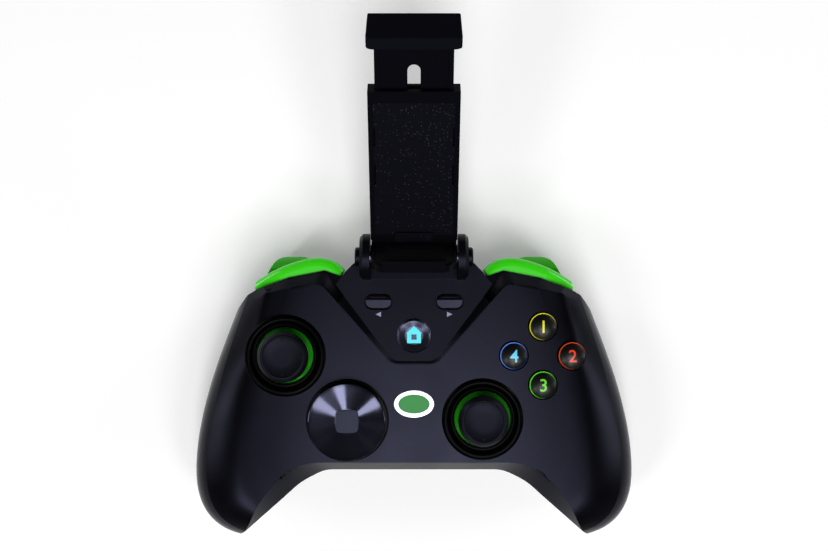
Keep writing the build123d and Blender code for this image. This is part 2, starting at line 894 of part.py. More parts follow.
for name, (x, y) in zip(("right", "top", "left", "bottom"), button_places):
    with BuildPart() as button:
        with BuildSketch(upright(x, y)):
            with BuildLine():
                flange_top = tube_foot - 0.2
                flange_foot = flange_top - 1.0
                flange_rim = button_radius + button_flange_width
                shoulder = face_height + 0.3
                Polyline(
                    (0, face_height + button_rise), (0, button_foot), (button_foot_radius, button_foot),
                    (button_foot_radius, flange_foot), (flange_rim, flange_foot), (flange_rim, flange_top),
                    (button_radius, flange_top), (button_radius, shoulder),
                )
                dome_arc(button_radius, shoulder, face_height + button_rise)
            make_face()
        revolve(axis=upward(x, y))
    save(button.part, "button_" + name)
with BuildPart() as button_membrane:
    foot = board_height + board_thickness
    with BuildSketch(level(foot, *cluster_place)):
        Circle(membrane_radius)
    extrude(amount=membrane_thickness)
    with BuildSketch(level(foot, *cluster_place)):
        with PolarLocations(cluster_radius, 4):
            Circle(button_foot_radius + 0.2)
    extrude(amount=button_foot - button_travel - 0.1 - foot, taper=12)
save(button_membrane.part, "button_membrane")

# Back, start and home buttons in the centre panel
small_foot = board_height + board_thickness + 2.8


def pill_sketch(height, place, grow):
    with BuildSketch(level(height, *place)) as pill:
        SlotOverall(pill_length + 2 * grow, pill_width + 2 * grow)
    return pill.sketch


for name, place in {"back_button": (-pill_place[0], pill_place[1]), "start_button": pill_place}.items():
    surface = floor_height(place[1])
    with BuildPart() as pill:
        extrude(pill_sketch(surface - panel_wall - 2.0, place, 0), amount=panel_wall + 2.6)
        top_edges = pill.edges().group_by(Axis.Z)[-1]
        fillet(top_edges, 0.8)
        extrude(pill_sketch(surface - panel_wall - 1.8, place, 0.9), amount=1.2)
        with BuildSketch(level(small_foot, *place)):
            Circle(1.8)
        extrude(amount=surface - panel_wall - 1.5 - small_foot)
    save(pill.part, name)
surface = floor_height(home_y)
home_button = turned(
    0, home_y,
    [
        (0, small_foot), (1.8, small_foot), (1.8, surface - 4.2), (home_radius + 0.9, surface - 4.2),
        (home_radius + 0.9, surface - 2.9), (home_radius, surface - 2.9), (home_radius, surface + 0.5),
        (home_radius - 0.4, surface + 0.8), (home_radius - 1.0, surface + 0.6), (3.2, surface + 0.1),
        (0, surface - 0.1),
    ],
)
save(home_button, "home_button")
with BuildPart() as centre_switches:
    foot = board_height + board_thickness
    for place in ((-pill_place[0], pill_place[1]), pill_place, (0, home_y)):
        with BuildSketch(level(foot, *place)):
            Rectangle(5, 5)
        extrude(amount=small_foot - small_travel - 0.2 - foot)
save(centre_switches.part, "centre_switches")

# Centre panel's holes
with BuildPart() as pierced_panel:
    add(centre_panel.part)
    for place in ((-pill_place[0], pill_place[1]), pill_place):
        extrude(pill_sketch(part_height, place, pill_gap), amount=12, mode=Mode.SUBTRACT)
    with BuildSketch(level(part_height, 0, home_y)):
        Circle(home_radius + pill_gap)
    extrude(amount=12, mode=Mode.SUBTRACT)
    for x in (base_screw_x, -base_screw_x):
        with BuildSketch(level(part_height - 2, x, base_screw_y)):
            Circle(small_screw_radius)
        extrude(amount=12, mode=Mode.SUBTRACT)
    rear_edges = pierced_panel.edges().filter_by_position(Axis.Y, bridge_rear_y - 0.5, bridge_rear_y)
    fillet(rear_edges.sort_by(Axis.Z)[-1], panel_rear_round)
save(pierced_panel.part, "centre_panel")

# Badge: a plain oval in a frame
with BuildPart() as badge_frame:
    with BuildSketch(level(face_height, 0, badge_y)):
        Ellipse(*badge_radii)
        Ellipse(*badge_inlay_radii, mode=Mode.SUBTRACT)
    extrude(amount=0.5)
save(badge_frame.part, "badge_frame")
with BuildPart() as badge_inlay:
    with BuildSketch(level(face_height, 0, badge_y)):
        Ellipse(*badge_inlay_radii)
    extrude(amount=0.3)
save(badge_inlay.part, "badge_inlay")

# Bumpers
with BuildPart() as right_bumper:
    with BuildSketch(level(bumper_bottom)):
        with BuildLine():
            Spline(*bumper_rear_points)
            Polyline(
                bumper_rear_points[-1], (55.4, -4.4), (55.0, -6.1), (43.3, -1.9), (33.5, -0.9), (27.7, -2.5),
                bumper_rear_points[0],
            )
        make_face()
    extrude(amount=bumper_top - bumper_bottom)
    add(above_slope(bumper_top), mode=Mode.SUBTRACT)
    rear_edges = [edge for edge in right_bumper.edges() if edge.center().Z > 33 and edge.center().Y > 0.6]
    rear_edges = [edge for edge in rear_edges if edge.length > 6 and edge.bounding_box().size.X > 5]
    fillet(rear_edges, bumper_round)
    with BuildSketch(level(bumper_bottom, *bumper_pivot)):
        Circle(bumper_pin_radius)
    extrude(amount=-bumper_pin_length)
save(right_bumper.part, "right_bumper")
save(mirror_of(right_bumper.part), "left_bumper")

# Triggers
trigger_low = (trigger_x - trigger_half_width, trigger_x + trigger_half_width)
with BuildPart() as trigger_plan:
    with BuildSketch(level(-5)):
        with BuildLine():
            left, right = trigger_low
            FilletPolyline(
                (left, pocket_front_y), (left, -3.0), (left + 4.6, trigger_nose_y),
                (right - 4.6, trigger_nose_y), (right, -3.0), (right, pocket_front_y),
                close=True, radius=[0.5, 4.0, 4.8, 4.8, 4.0, 0.5],
            )
        make_face()
    extrude(amount=40)
with BuildPart() as right_trigger:
    with BuildSketch(side_view(trigger_low[0])):
        with BuildLine():
            hub_top = (trigger_axis_y, trigger_axis_height + trigger_hub_radius)
            Polyline(hub_top, *trigger_top_points)
            Spline(*trigger_front_points)
            Spline(*trigger_inside_points)
            Polyline(trigger_inside_points[-1], (trigger_axis_y, 20.0), hub_top)
        make_face()
        with Locations((trigger_axis_y, trigger_axis_height)):
            Circle(trigger_hub_radius)
    extrude(amount=2 * trigger_half_width)
    add(trigger_plan.part, mode=Mode.INTERSECT)
    bore_start = (trigger_low[0] - 1, trigger_axis_y, trigger_axis_height)
    bore = rod(bore_start, (1, 0, 0), trigger_pin_radius + running_gap, 30)
    add(bore, mode=Mode.SUBTRACT)
save(right_trigger.part, "right_trigger")
save(mirror_of(right_trigger.part), "left_trigger")
right_pin = rod(pin_origin, (1, 0, 0), trigger_pin_radius, pin_length)
save(right_pin, "right_trigger_pin")
save(mirror_of(right_pin), "left_trigger_pin")


# Inside: board, battery, rumble motors, port and screws
with BuildPart() as main_board:
    with BuildSketch(level(board_height)):
        with BuildLine():
            Polyline(*both_sides(board_right_edge), close=True)
        make_face()
        with Locations(*screw_places):
            Circle(post_radius + 0.1, mode=Mode.SUBTRACT)
    extrude(amount=board_thickness)
save(main_board.part, "main_board")
length, width, height = battery_size
with BuildPart() as battery:
    with BuildSketch(level(wall, 0, battery_y)):
        RectangleRounded(length, width, 1.5)
    extrude(amount=height)
save(battery.part, "battery")
shaft_front_y = motor_front_y - weight_length - 3.0
shaft_length = weight_length + 3.0 + motor_length / 2
for side, x in (("left", -motor_x), ("right", motor_x)):
    with BuildPart() as motor:
        add(rod((x, motor_front_y, motor_height), (0, 1, 0), motor_radius, motor_length))
        add(rod((x, motor_front_y, motor_height), (0, -1, 0), motor_nose_radius, motor_nose_length))
        shaft_start = (x, shaft_front_y, motor_height)
        bore = rod(shaft_start, (0, 1, 0), shaft_radius + running_gap, shaft_length + 0.1)
        add(bore, mode=Mode.SUBTRACT)
    save(motor.part, side + "_rumble_motor")
    with BuildPart() as weight:
        with BuildSketch(upright(x, shaft_front_y + 0.5 + weight_length)):
            with Locations((0, motor_height)):
                Circle(weight_radius)
            with Locations((0, motor_height + weight_radius)):
                Rectangle(4 * weight_radius, 2 * weight_radius, mode=Mode.SUBTRACT)
            with Locations((0, motor_height)):
                Circle(weight_hub_radius)
        extrude(amount=weight_length)
        add(rod(shaft_start, (0, 1, 0), shaft_radius, shaft_length))
    save(weight.part, side + "_rumble_weight")
with BuildPart() as usb_port:
    with BuildSketch(upright(0, bridge_rear_y - 0.1)):
        with Locations((0, port_height)):
            RectangleRounded(port_width, port_thickness, port_thickness / 2 - 0.05)
    extrude(amount=port_depth)
    with BuildSketch(upright(0, bridge_rear_y - 0.1)):
        with Locations((0, port_height)):
            RectangleRounded(port_width - 0.7, port_thickness - 0.7, (port_thickness - 0.7) / 2 - 0.05)
    extrude(amount=port_depth - 1.0, mode=Mode.SUBTRACT)
    with BuildSketch(upright(0, bridge_rear_y - 0.8)):
        with Locations((0, port_height)):
            Rectangle(port_width - 2.2, 0.7)
    extrude(amount=port_depth - 1.0)
save(usb_port.part, "usb_port")
with BuildPart() as shell_screws:
    for (x, y), seat in zip(screw_places, screw_seats):
        with BuildSketch(level(seat - screw_head_height, x, y)):
            Circle(screw_head_radius)
        extrude(amount=screw_head_height)
        with BuildSketch(level(seat, x, y)):
            Circle(screw_radius)
        extrude(amount=screw_tip - seat)
        with BuildSketch(level(seat - screw_head_height, x, y)):
            Rectangle(2.8, 0.8)
            Rectangle(0.8, 2.8)
        extrude(amount=0.9, mode=Mode.SUBTRACT)
save(shell_screws.part, "shell_screws")


# Phone clip
clip_along = (0, cos(radians(clip_tilt)), sin(radians(clip_tilt)))
clip_out = (0, -sin(radians(clip_tilt)), cos(radians(clip_tilt)))


def clip_point(along, out):
    """Y and Z of a place on the clip, from its distance up the plate and out from its front."""
    y = clip_origin[0] + along * clip_along[1] + out * clip_out[1]
    return y, clip_origin[1] + along * clip_along[2] + out * clip_out[2]


def on_plate(out):
    """Plane parallel to the clip's plate: first direction +X, second up the plate."""
    return Plane(origin=(0, *clip_point(0, out)), x_dir=(1, 0, 0), z_dir=clip_out)


def across_plate(along):
    """Plane square to the plate: first direction +X, second out from the plate. It faces down the plate."""
    downwards = (0, -clip_along[1], -clip_along[2])
    return Plane(origin=(0, *clip_point(along, 0)), x_dir=(1, 0, 0), z_dir=downwards)


def beside_plate(x):
    """Plane square to X: first direction up the plate, second out from it."""
    return Plane(origin=(x, *clip_point(0, 0)), x_dir=clip_along, z_dir=(1, 0, 0))


def clip_block(half_width, low, high):
    """Box over the middle of the clip, between two (up the plate, out from it) corners."""
    with BuildPart() as piece:
        with BuildSketch(beside_plate(-half_width)):
            with Locations(((low[0] + high[0]) / 2, (low[1] + high[1]) / 2)):
                Rectangle(high[0] - low[0], high[1] - low[1])
        extrude(amount=2 * half_width)
    return piece.part


hinge_y, hinge_z = clip_point(axis_s, axis_n)
arm_screw_seat = axis_s + 0.25
arm_screw_holes = [
    rod((x, *clip_point(arm_screw_seat, arm_screw_n)), clip_along, small_screw_radius, arm_screw_length)
    for x in (arm_screw_x, -arm_screw_x)
]
channel_out = -2.0 - slider_thickness - 2 * slider_gap
with BuildPart() as clip_back_plate:
    with BuildSketch(on_plate(-plate_depth)):
        with Locations((0, (plate_foot + plate_top) / 2)):
            Rectangle(2 * plate_half_width, plate_top - plate_foot)
    extrude(amount=plate_depth)
    channel_end = (plate_top + 5, -plate_front_wall)
    channel = clip_block(slider_half_width + slider_gap, (channel_foot, channel_out), channel_end)
    add(channel, mode=Mode.SUBTRACT)
    add(clip_block(front_panel_half_width, (0.0, -1.1), (plate_top - border_height, 1)), mode=Mode.SUBTRACT)
    with BuildSketch(on_plate(channel_out)):
        with Locations((0, guide_post_s)):
            Circle(guide_post_radius)
    extrude(amount=slider_thickness + 2 * slider_gap)
    for hole in arm_screw_holes:
        add(hole, mode=Mode.SUBTRACT)
save(clip_back_plate.part, "clip_back_plate")

with BuildPart() as clip_front_panel:
    with BuildSketch(on_plate(-1.1)):
        with Locations((0, (plate_top - border_height) / 2)):
            Rectangle(2 * front_panel_half_width, plate_top - border_height)
        for low, high in side_notches:
            for x in (front_panel_half_width, -front_panel_half_width):
                with Locations((x, (low + high) / 2)):
                    Rectangle(2 * side_notch_depth, high - low, mode=Mode.SUBTRACT)
    extrude(amount=front_panel_thickness)
    add(clip_block(tab_half_width, (0.0, -0.1), (1.2, 0.6)))
    add(clip_block(tab_half_width, (ledge_top, 0.0), (1.2, 0.6)))
    add(clip_block(tab_half_width, (ledge_top, 0.0), (ledge_top + 1.0, tab_reach)))
save(clip_front_panel.part, "clip_front_panel")
with BuildPart() as clip_slider:
    with BuildSketch(on_plate(-plate_front_wall - slider_gap - slider_thickness)):
        with Locations((0, (slider_foot + jaw_top_foot) / 2)):
            Rectangle(2 * slider_half_width, jaw_top_foot - slider_foot)
        with Locations((0, (slot_foot + slot_top) / 2)):
            SlotOverall(slot_top - slot_foot, 2 * slot_half_width, rotation=90, mode=Mode.SUBTRACT)
    extrude(amount=slider_thickness)
    recess_low = (slider_foot + 2, -plate_front_wall - slider_gap - 0.4)
    add(clip_block(slider_half_width - 1.4, recess_low, (jaw_inner - 3, 0)), mode=Mode.SUBTRACT)
save(clip_slider.part, "clip_slider")
with BuildPart() as clip_top_jaw:
    rear_n = -plate_front_wall - slider_gap - slider_thickness
    with BuildSketch(across_plate(jaw_outer)):
        with BuildLine():
            FilletPolyline(
                (-jaw_half_width, rear_n), (jaw_half_width, rear_n), (jaw_half_width, jaw_reach),
                (-jaw_half_width, jaw_reach), close=True, radius=[0.4, 0.4, 2.3, 2.3],
            )
        make_face()
    extrude(amount=jaw_outer - jaw_inner)
    hollow = (jaw_inner - 1, rear_n - 1)
    add(clip_block(jaw_half_width + 1, hollow, (jaw_top_foot, jaw_reach - 1.8)), mode=Mode.SUBTRACT)
    outer_face = clip_top_jaw.faces().sort_by(Axis((0, 0, 0), clip_along))[-1]
    chamfer(outer_face.edges(), 0.35)
save(clip_top_jaw.part, "clip_top_jaw")
with BuildPart() as clip_upper_pad:
    with BuildSketch(across_plate(jaw_top_foot)):
        with Locations((0, 7.0)):
            RectangleRounded(24.0, 12.0, 1.5)
    extrude(amount=0.6)
save(clip_upper_pad.part, "clip_upper_pad")
with BuildPart() as clip_lower_jaw:
    with BuildSketch(across_plate(ledge_rim)):
        with BuildLine():
            FilletPolyline(
                (-ledge_half_width, 0), (ledge_half_width, 0), (ledge_half_width, ledge_reach),
                (-ledge_half_width, ledge_reach), close=True, radius=[0.4, 0.4, 4.5, 4.5],
            )
        make_face()
    extrude(amount=ledge_rim - ledge_foot)
    add(rod((-plate_half_width, hinge_y, hinge_z), (1, 0, 0), barrel_radius, 2 * plate_half_width))
    add(clip_block(ledge_half_width + 0.4, (-8.0, -5.6), (plate_foot, 0.0)))
    with BuildSketch(across_plate(ledge_rim + 3)):
        with BuildLine():
            inner = ledge_half_width - 0.9
            FilletPolyline(
                (-inner, 0), (inner, 0), (inner, ledge_reach - 1.5), (-inner, ledge_reach - 1.5), close=True,
                radius=[0.4, 0.4, 3.6, 3.6],
            )
        make_face()
    extrude(amount=ledge_rim + 3 - ledge_top, mode=Mode.SUBTRACT)
    lip_top = (ledge_foot + ledge_lip, ledge_reach)
    add(clip_block(ledge_lip_half_width, (ledge_foot, ledge_reach - 1.5), lip_top))
    bore = rod((-20, hinge_y, hinge_z), (1, 0, 0), bolt_radius + 0.05, 40)
    add(bore, mode=Mode.SUBTRACT)
    for hole in arm_screw_holes:
        add(hole, mode=Mode.SUBTRACT)
    for x in (arm_screw_x, -arm_screw_x):
        with BuildSketch(across_plate(arm_screw_seat)):
            with Locations((x, arm_screw_n)):
                Circle(small_screw_radius + 0.7)
        extrude(amount=5, mode=Mode.SUBTRACT)
save(clip_lower_jaw.part, "clip_lower_jaw")
with BuildPart() as clip_lower_pad:
    with BuildSketch(across_plate(ledge_top)):
        with BuildLine():
            inner = ledge_half_width - 1.1
            reach = ledge_reach - 1.7
            FilletPolyline(
                (-inner, 0.2), (inner, 0.2), (inner, reach), (-inner, reach), close=True,
                radius=[0.4, 0.4, 3.4, 3.4],
            )
        make_face()
    extrude(amount=-0.4)
    cut = (ledge_top - 1.0, -1.0)
    add(clip_block(tab_half_width + 0.2, cut, (ledge_top + 1.0, tab_reach + 0.3)), mode=Mode.SUBTRACT)
save(clip_lower_pad.part, "clip_lower_pad")
with BuildPart() as right_ear:
    with BuildSketch(side_view(ear_inner)):
        with Locations((hinge_y, hinge_z)):
            Circle(ear_radius)
        with Locations(((foot_front_y + foot_rear_y) / 2, (part_height + hinge_z - 4) / 2)):
            Rectangle(foot_rear_y - foot_front_y, hinge_z - 4 - part_height)
    extrude(amount=ear_outer - ear_inner)
    chamfer(right_ear.faces().sort_by(Axis.X)[-1].edges(), ear_bevel)
with BuildPart() as clip_base:
    add(right_ear.part)
    add(mirror_of(right_ear.part))
    add(block((-ear_inner, foot_front_y + 0.45, part_height), (ear_inner, foot_rear_y, foot_top)))
    add(outside, mode=Mode.SUBTRACT)
    bore = rod((-20, hinge_y, hinge_z), (1, 0, 0), bolt_radius, 40)
    add(bore, mode=Mode.SUBTRACT)
    for x in (base_screw_x, -base_screw_x):
        add(rod((x, base_screw_y, part_height), (0, 0, 1), small_screw_radius, 4.4), mode=Mode.SUBTRACT)
save(clip_base.part, "clip_base")
save(rod((-knob_outer, hinge_y, hinge_z), (1, 0, 0), bolt_radius, 2 * knob_outer), "clip_hinge_bolt")
panel_under = floor_height(base_screw_y) - panel_wall - 0.4
with BuildPart() as clip_base_screws:
    for x in (base_screw_x, -base_screw_x):
        with BuildSketch(level(panel_under - 1.0, x, base_screw_y)):
            Circle(small_screw_radius + 0.9)
        extrude(amount=1.0)
        with BuildSketch(level(panel_under, x, base_screw_y)):
            Circle(small_screw_radius)
        extrude(amount=part_height + 4.2 - panel_under)
save(clip_base_screws.part, "clip_base_screws")
with BuildPart() as clip_arm_screws:
    for x in (arm_screw_x, -arm_screw_x):
        with BuildSketch(across_plate(arm_screw_seat)):
            with Locations((x, arm_screw_n)):
                Circle(small_screw_radius + 0.7)
        extrude(amount=1.0)
        with BuildSketch(across_plate(arm_screw_seat)):
            with Locations((x, arm_screw_n)):
                Circle(small_screw_radius)
        extrude(amount=-arm_screw_length)
save(clip_arm_screws.part, "clip_arm_screws")
with BuildPart() as clip_knobs:
    for x, way in ((ear_outer, 1), (-ear_outer, -1)):
        with BuildSketch(Plane(origin=(x, hinge_y, hinge_z), z_dir=(way, 0, 0))):
            Circle(knob_radius)
            Circle(bolt_radius, mode=Mode.SUBTRACT)
        extrude(amount=knob_outer - ear_outer)
    rims = [edge for edge in clip_knobs.edges() if abs(abs(edge.center().X) - knob_outer) < 0.01]
    chamfer([edge for edge in rims if edge.radius > bolt_radius + 0.5], 0.45)
save(clip_knobs.part, "clip_knobs")
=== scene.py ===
# %% [markdown]
# # A gamepad with a phone clip, seen from straight above
#
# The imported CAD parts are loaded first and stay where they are. Everything below adds finishes, fine detail, light
# and a camera to them. Lengths are in metres, and `mm` turns millimetres into them.

# %% Load the parts
from math import cos, exp, pi, radians, sin, sqrt, tan

import bmesh
import bpy
from mathutils import Matrix, Vector
from mathutils.kdtree import KDTree


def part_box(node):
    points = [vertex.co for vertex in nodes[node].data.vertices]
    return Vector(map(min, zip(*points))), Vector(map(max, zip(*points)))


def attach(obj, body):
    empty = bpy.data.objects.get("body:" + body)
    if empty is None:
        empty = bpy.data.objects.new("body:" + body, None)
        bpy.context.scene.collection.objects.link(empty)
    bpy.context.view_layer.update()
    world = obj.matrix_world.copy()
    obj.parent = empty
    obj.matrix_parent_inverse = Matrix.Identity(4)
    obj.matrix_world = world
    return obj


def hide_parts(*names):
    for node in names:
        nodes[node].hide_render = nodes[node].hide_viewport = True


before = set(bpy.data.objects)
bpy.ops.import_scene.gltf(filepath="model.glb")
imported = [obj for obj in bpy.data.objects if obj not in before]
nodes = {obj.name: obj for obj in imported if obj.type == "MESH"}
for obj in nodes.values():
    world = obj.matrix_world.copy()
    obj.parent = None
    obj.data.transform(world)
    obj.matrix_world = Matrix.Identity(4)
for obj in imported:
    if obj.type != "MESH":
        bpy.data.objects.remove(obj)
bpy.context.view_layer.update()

mm = 0.001

# %% [markdown]
# ## Colour and node helpers
#
# Colours are written the way a paint program shows them and turned into linear light by one function. One small
# helper adds a shader node and sets its sockets.


# %% Colour and node helpers
def linear(hex_colour):
    parts = [int(hex_colour[i:i + 2], 16) / 255 for i in (1, 3, 5)]
    return tuple(p / 12.92 if p <= 0.04045 else ((p + 0.055) / 1.055) ** 2.4 for p in parts) + (1.0,)


def add_node(tree, kind, sockets=None, **settings):
    node = tree.nodes.new(kind)
    for name, value in settings.items():
        setattr(node, name, value)
    for name, value in (sockets or {}).items():
        if isinstance(value, bpy.types.NodeSocket):
            tree.links.new(value, node.inputs[name])
        else:
            node.inputs[name].default_value = value
    return node


# %% [markdown]
# ## Finishes
#
# Most of the pad is injection moulded ABS. Its mould was spark eroded, which leaves a fine grain of about 0.35 mm,
# and no two patches of a moulding are equally matt. So every finish has two noises: a fine one that drives a bump,
# and a slow one, some 12 mm across, that lets the roughness drift. The black is nearly black by itself. What the eye
# sees of it is the haze that the grain throws round a highlight, and that haze is slightly blue.


# %% Moulded finishes
patch_mm = 12


def finish(name, colour, roughness, grain_mm=0.35, grain_depth_mm=0.004, drift=0.02, shine=0.5, tint="#ffffff",
           **extra):
    """Procedural material: a colour, a drifting roughness and a grain. Extra settings are sockets of the shader."""
    material = bpy.data.materials.new(name)
    material.use_nodes = True
    tree = material.node_tree
    shader = tree.nodes["Principled BSDF"]
    shader.inputs["Base Color"].default_value = linear(colour)
    shader.inputs["Specular Tint"].default_value = linear(tint)
    shader.inputs["Specular IOR Level"].default_value = shine
    for socket, value in extra.items():
        shader.inputs[socket.replace("_", " ")].default_value = value
    place = add_node(tree, "ShaderNodeTexCoord").outputs["Object"]
    patches = add_node(tree, "ShaderNodeTexNoise", {"Vector": place, "Scale": 1 / (patch_mm * mm), "Detail": 1.0})
    gloss = add_node(
        tree, "ShaderNodeMapRange",
        {
            "Value": patches.outputs["Fac"], "From Min": 0.3, "From Max": 0.7,
            "To Min": roughness - drift, "To Max": roughness + drift,
        },
    )
    tree.links.new(gloss.outputs["Result"], shader.inputs["Roughness"])
    grain = add_node(tree, "ShaderNodeTexNoise", {"Vector": place, "Scale": 1 / (grain_mm * mm), "Detail": 3.0})
    bump = add_node(
        tree, "ShaderNodeBump",
        {"Height": grain.outputs["Fac"], "Strength": 1.0, "Distance": grain_depth_mm * mm},
    )
    tree.links.new(bump.outputs["Normal"], shader.inputs["Normal"])
    return material


blue_haze = "#cdd0ff"
# ABS from a spark-eroded mould: a soft bluish haze and no clear reflection. The panel's grain is the deepest.
face_plastic = finish("Grained ABS, face", "#020203", 0.32, shine=0.18, tint=blue_haze, grain_depth_mm=0.005)
case_plastic = finish("Grained ABS, case", "#020203", 0.32, shine=0.18, tint=blue_haze)
panel_plastic = finish("Grained ABS, panel", "#09090c", 0.45, shine=0.27, tint=blue_haze, grain_depth_mm=0.008)
hinge_plastic = finish("Grained ABS, hinge", "#07070a", 0.34, shine=0.09, tint=blue_haze)
# ABS from a blasted mould: almost no highlight, so the clip looks duller than the pad.
clip_plastic = finish("Matt ABS, clip", "#09090e", 0.55, shine=0.015, tint=blue_haze)
# The upper jaw wears the clip's plastic painted lighter, as painted light for the brighter light on its front.
jaw_plastic_painted_lighter = finish("Matt ABS, upper jaw", "#101017", 0.6, shine=0.0)
# ABS from a polished mould: the grain is all but gone, so a lamp shows as a small bright spot.
gloss_black = finish("Gloss ABS, black", "#010102", 0.32, shine=0.03, grain_depth_mm=0.0005)
button_plastic = finish("Gloss ABS, domed buttons", "#060608", 0.36, shine=0.34, grain_depth_mm=0.0005)
# Compression-moulded rubber: a deep grain for grip and a broad, weak sheen.
stick_rubber = finish("Moulded rubber", "#08080b", 0.45, shine=0.13, tint=blue_haze, grain_depth_mm=0.006)
# ABS coloured right through, from a polished mould: strong even colour with a soft highlight.
trim_green = finish("Satin ABS, green trim", "#1b9208", 0.3, grain_depth_mm=0.001)
bumper_green = finish("Gloss ABS, green", "#38d812", 0.3, shine=0.4, grain_depth_mm=0.001)
trigger_green = finish("Gloss ABS, deep green", "#2fae0c", 0.35, shine=0.02, grain_depth_mm=0.001)
# Metals have no colour of their own beside what they mirror: brushed steel blurs it and polished zinc keeps it.
steel = finish("Brushed steel", "#a0a0a4", 0.35, Metallic=1.0)
silver = finish("Polished zinc alloy", "#a8aab4", 0.25, grain_depth_mm=0.001, Metallic=1.0)
# Enamel flows level before it hardens: flat clear colour.
badge_green = finish("Gloss enamel, green", "#339044", 0.3, shine=0.15, grain_depth_mm=0.001)
# What lies inside: waxy nylon, chalky silicone, a lacquered board, a foil pouch, and soft rubber that mirrors little.
mechanism_plastic = finish("Moulded nylon, black", "#101013", 0.5)
membrane_rubber = finish("Silicone rubber, pale", "#c8c8c0", 0.6)
board_mask = finish("Solder mask, green", "#0f4a20", 0.4)
battery_foil = finish("Printed foil, silver", "#b0b2b6", 0.35, Metallic=0.8)
pad_rubber = finish("Soft rubber, pad", "#08080b", 0.65, shine=0.1)
# ABS from a finely blasted mould: a broad sheen that follows the slope of a small button.
home_plastic = finish("Satin ABS, home button", "#0c0c10", 0.3, shine=0.95, tint=blue_haze, grain_depth_mm=0.001)
small_plastic = finish("Satin ABS, small buttons", "#0c0c10", 0.36, shine=0.2, tint=blue_haze)
# Ink pressed on with a silicone pad: a thin opaque film, nearly matt.
pale_print = finish("Pad print, pale violet", "#9698be", 0.5, grain_depth_mm=0.001)
cyan_print = finish("Pad print, cyan", "#50f0ff", 0.4, grain_depth_mm=0.001)

# %% [markdown]
# The direction pad's dish is gloss ABS whose mould was turned on a lathe: fine grooves, 0.25 mm apart, run round its
# centre, so its shine spreads along the radius and draws a bright streak towards each lamp. The shader gets that
# radius as its tangent, measured from the dish's centre in object coordinates, and the same radius drives the bump
# of the grooves. The small square at the bottom is flat and only satin.

# %% Turned dish
dish_low, dish_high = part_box("dpad_disc")
dish_centre = (dish_low + dish_high) / 2
groove_mm = 0.25
turned_plastic = finish(
    "Turned gloss ABS", "#020203", 0.18, drift=0.01, grain_depth_mm=0.0005, shine=0.95, tint=blue_haze,
    Anisotropic=0.9,
)
tree = turned_plastic.node_tree
place = add_node(tree, "ShaderNodeTexCoord").outputs["Object"]
radius = add_node(tree, "ShaderNodeVectorMath", {0: place, 1: dish_centre}, operation="SUBTRACT")
tree.links.new(radius.outputs["Vector"], tree.nodes["Principled BSDF"].inputs["Tangent"])
outward = add_node(tree, "ShaderNodeVectorMath", {0: radius.outputs["Vector"], 1: (1, 1, 0)}, operation="MULTIPLY")
reach = add_node(tree, "ShaderNodeVectorMath", {0: outward.outputs["Vector"]}, operation="LENGTH")
turns = add_node(
    tree, "ShaderNodeMath", {0: reach.outputs["Value"], 1: 2 * pi / (groove_mm * mm)}, operation="MULTIPLY"
)
groove = add_node(tree, "ShaderNodeMath", {0: turns.outputs[0]}, operation="SINE")
tree.links.new(groove.outputs[0], tree.nodes["Bump"].inputs["Height"])
satin_plastic = finish("Satin ABS, flat of the dish", "#09090d", 0.35, shine=0.26, tint=blue_haze)
print("dish centre in mm:", [round(v / mm, 1) for v in dish_centre])

# %% [markdown]
# The clip's front plate is ABS with pale flakes mixed into the melt, a few of which lie at its surface. They are
# Voronoi cells 0.6 mm apart, of which only the ones with a high random number show, each as a small dot at the
# cell's centre. They get denser towards the top right.

# %% Flaked plate
flake_spacing = 0.6 * mm
flake_drift = (14.0, 12.0, 0.0)
plate_black = "#08080d"
flaked_plastic = finish("Flake-filled ABS, clip face", plate_black, 0.6, shine=0.06, tint=blue_haze)
tree = flaked_plastic.node_tree
place = add_node(tree, "ShaderNodeTexCoord").outputs["Object"]
cells = add_node(tree, "ShaderNodeTexVoronoi", {"Vector": place, "Scale": 1 / flake_spacing})
dot = add_node(
    tree, "ShaderNodeMapRange",
    {"Value": cells.outputs["Distance"], "From Min": 0.36, "From Max": 0.16, "To Min": 0.0, "To Max": 1.0},
)
lot = add_node(tree, "ShaderNodeSeparateColor", {"Color": cells.outputs["Color"]})
across = add_node(tree, "ShaderNodeVectorMath", {0: place, 1: flake_drift}, operation="DOT_PRODUCT")
bar = add_node(
    tree, "ShaderNodeMapRange",
    {"Value": across.outputs["Value"], "From Min": 0.1, "From Max": 1.0, "To Min": 0.94, "To Max": 0.6},
)
chosen = add_node(
    tree, "ShaderNodeMath", {0: lot.outputs["Red"], 1: bar.outputs["Result"]}, operation="GREATER_THAN"
)
flake = add_node(tree, "ShaderNodeMath", {0: dot.outputs["Result"], 1: chosen.outputs[0]}, operation="MULTIPLY")
tone = add_node(
    tree, "ShaderNodeMix",
    {"Factor": flake.outputs[0], "A": linear(plate_black), "B": linear("#363642")}, data_type="RGBA",
)
tree.links.new(tone.outputs["Result"], tree.nodes["Principled BSDF"].inputs["Base Color"])

# %% [markdown]
# ## Who wears what
#
# Every CAD part gets the finish of its real piece, the hidden ones too, because they show when the pad is taken
# apart. The shells, buttons and clip are moulded, and the stick modules, motors, pins and screws come in steel.

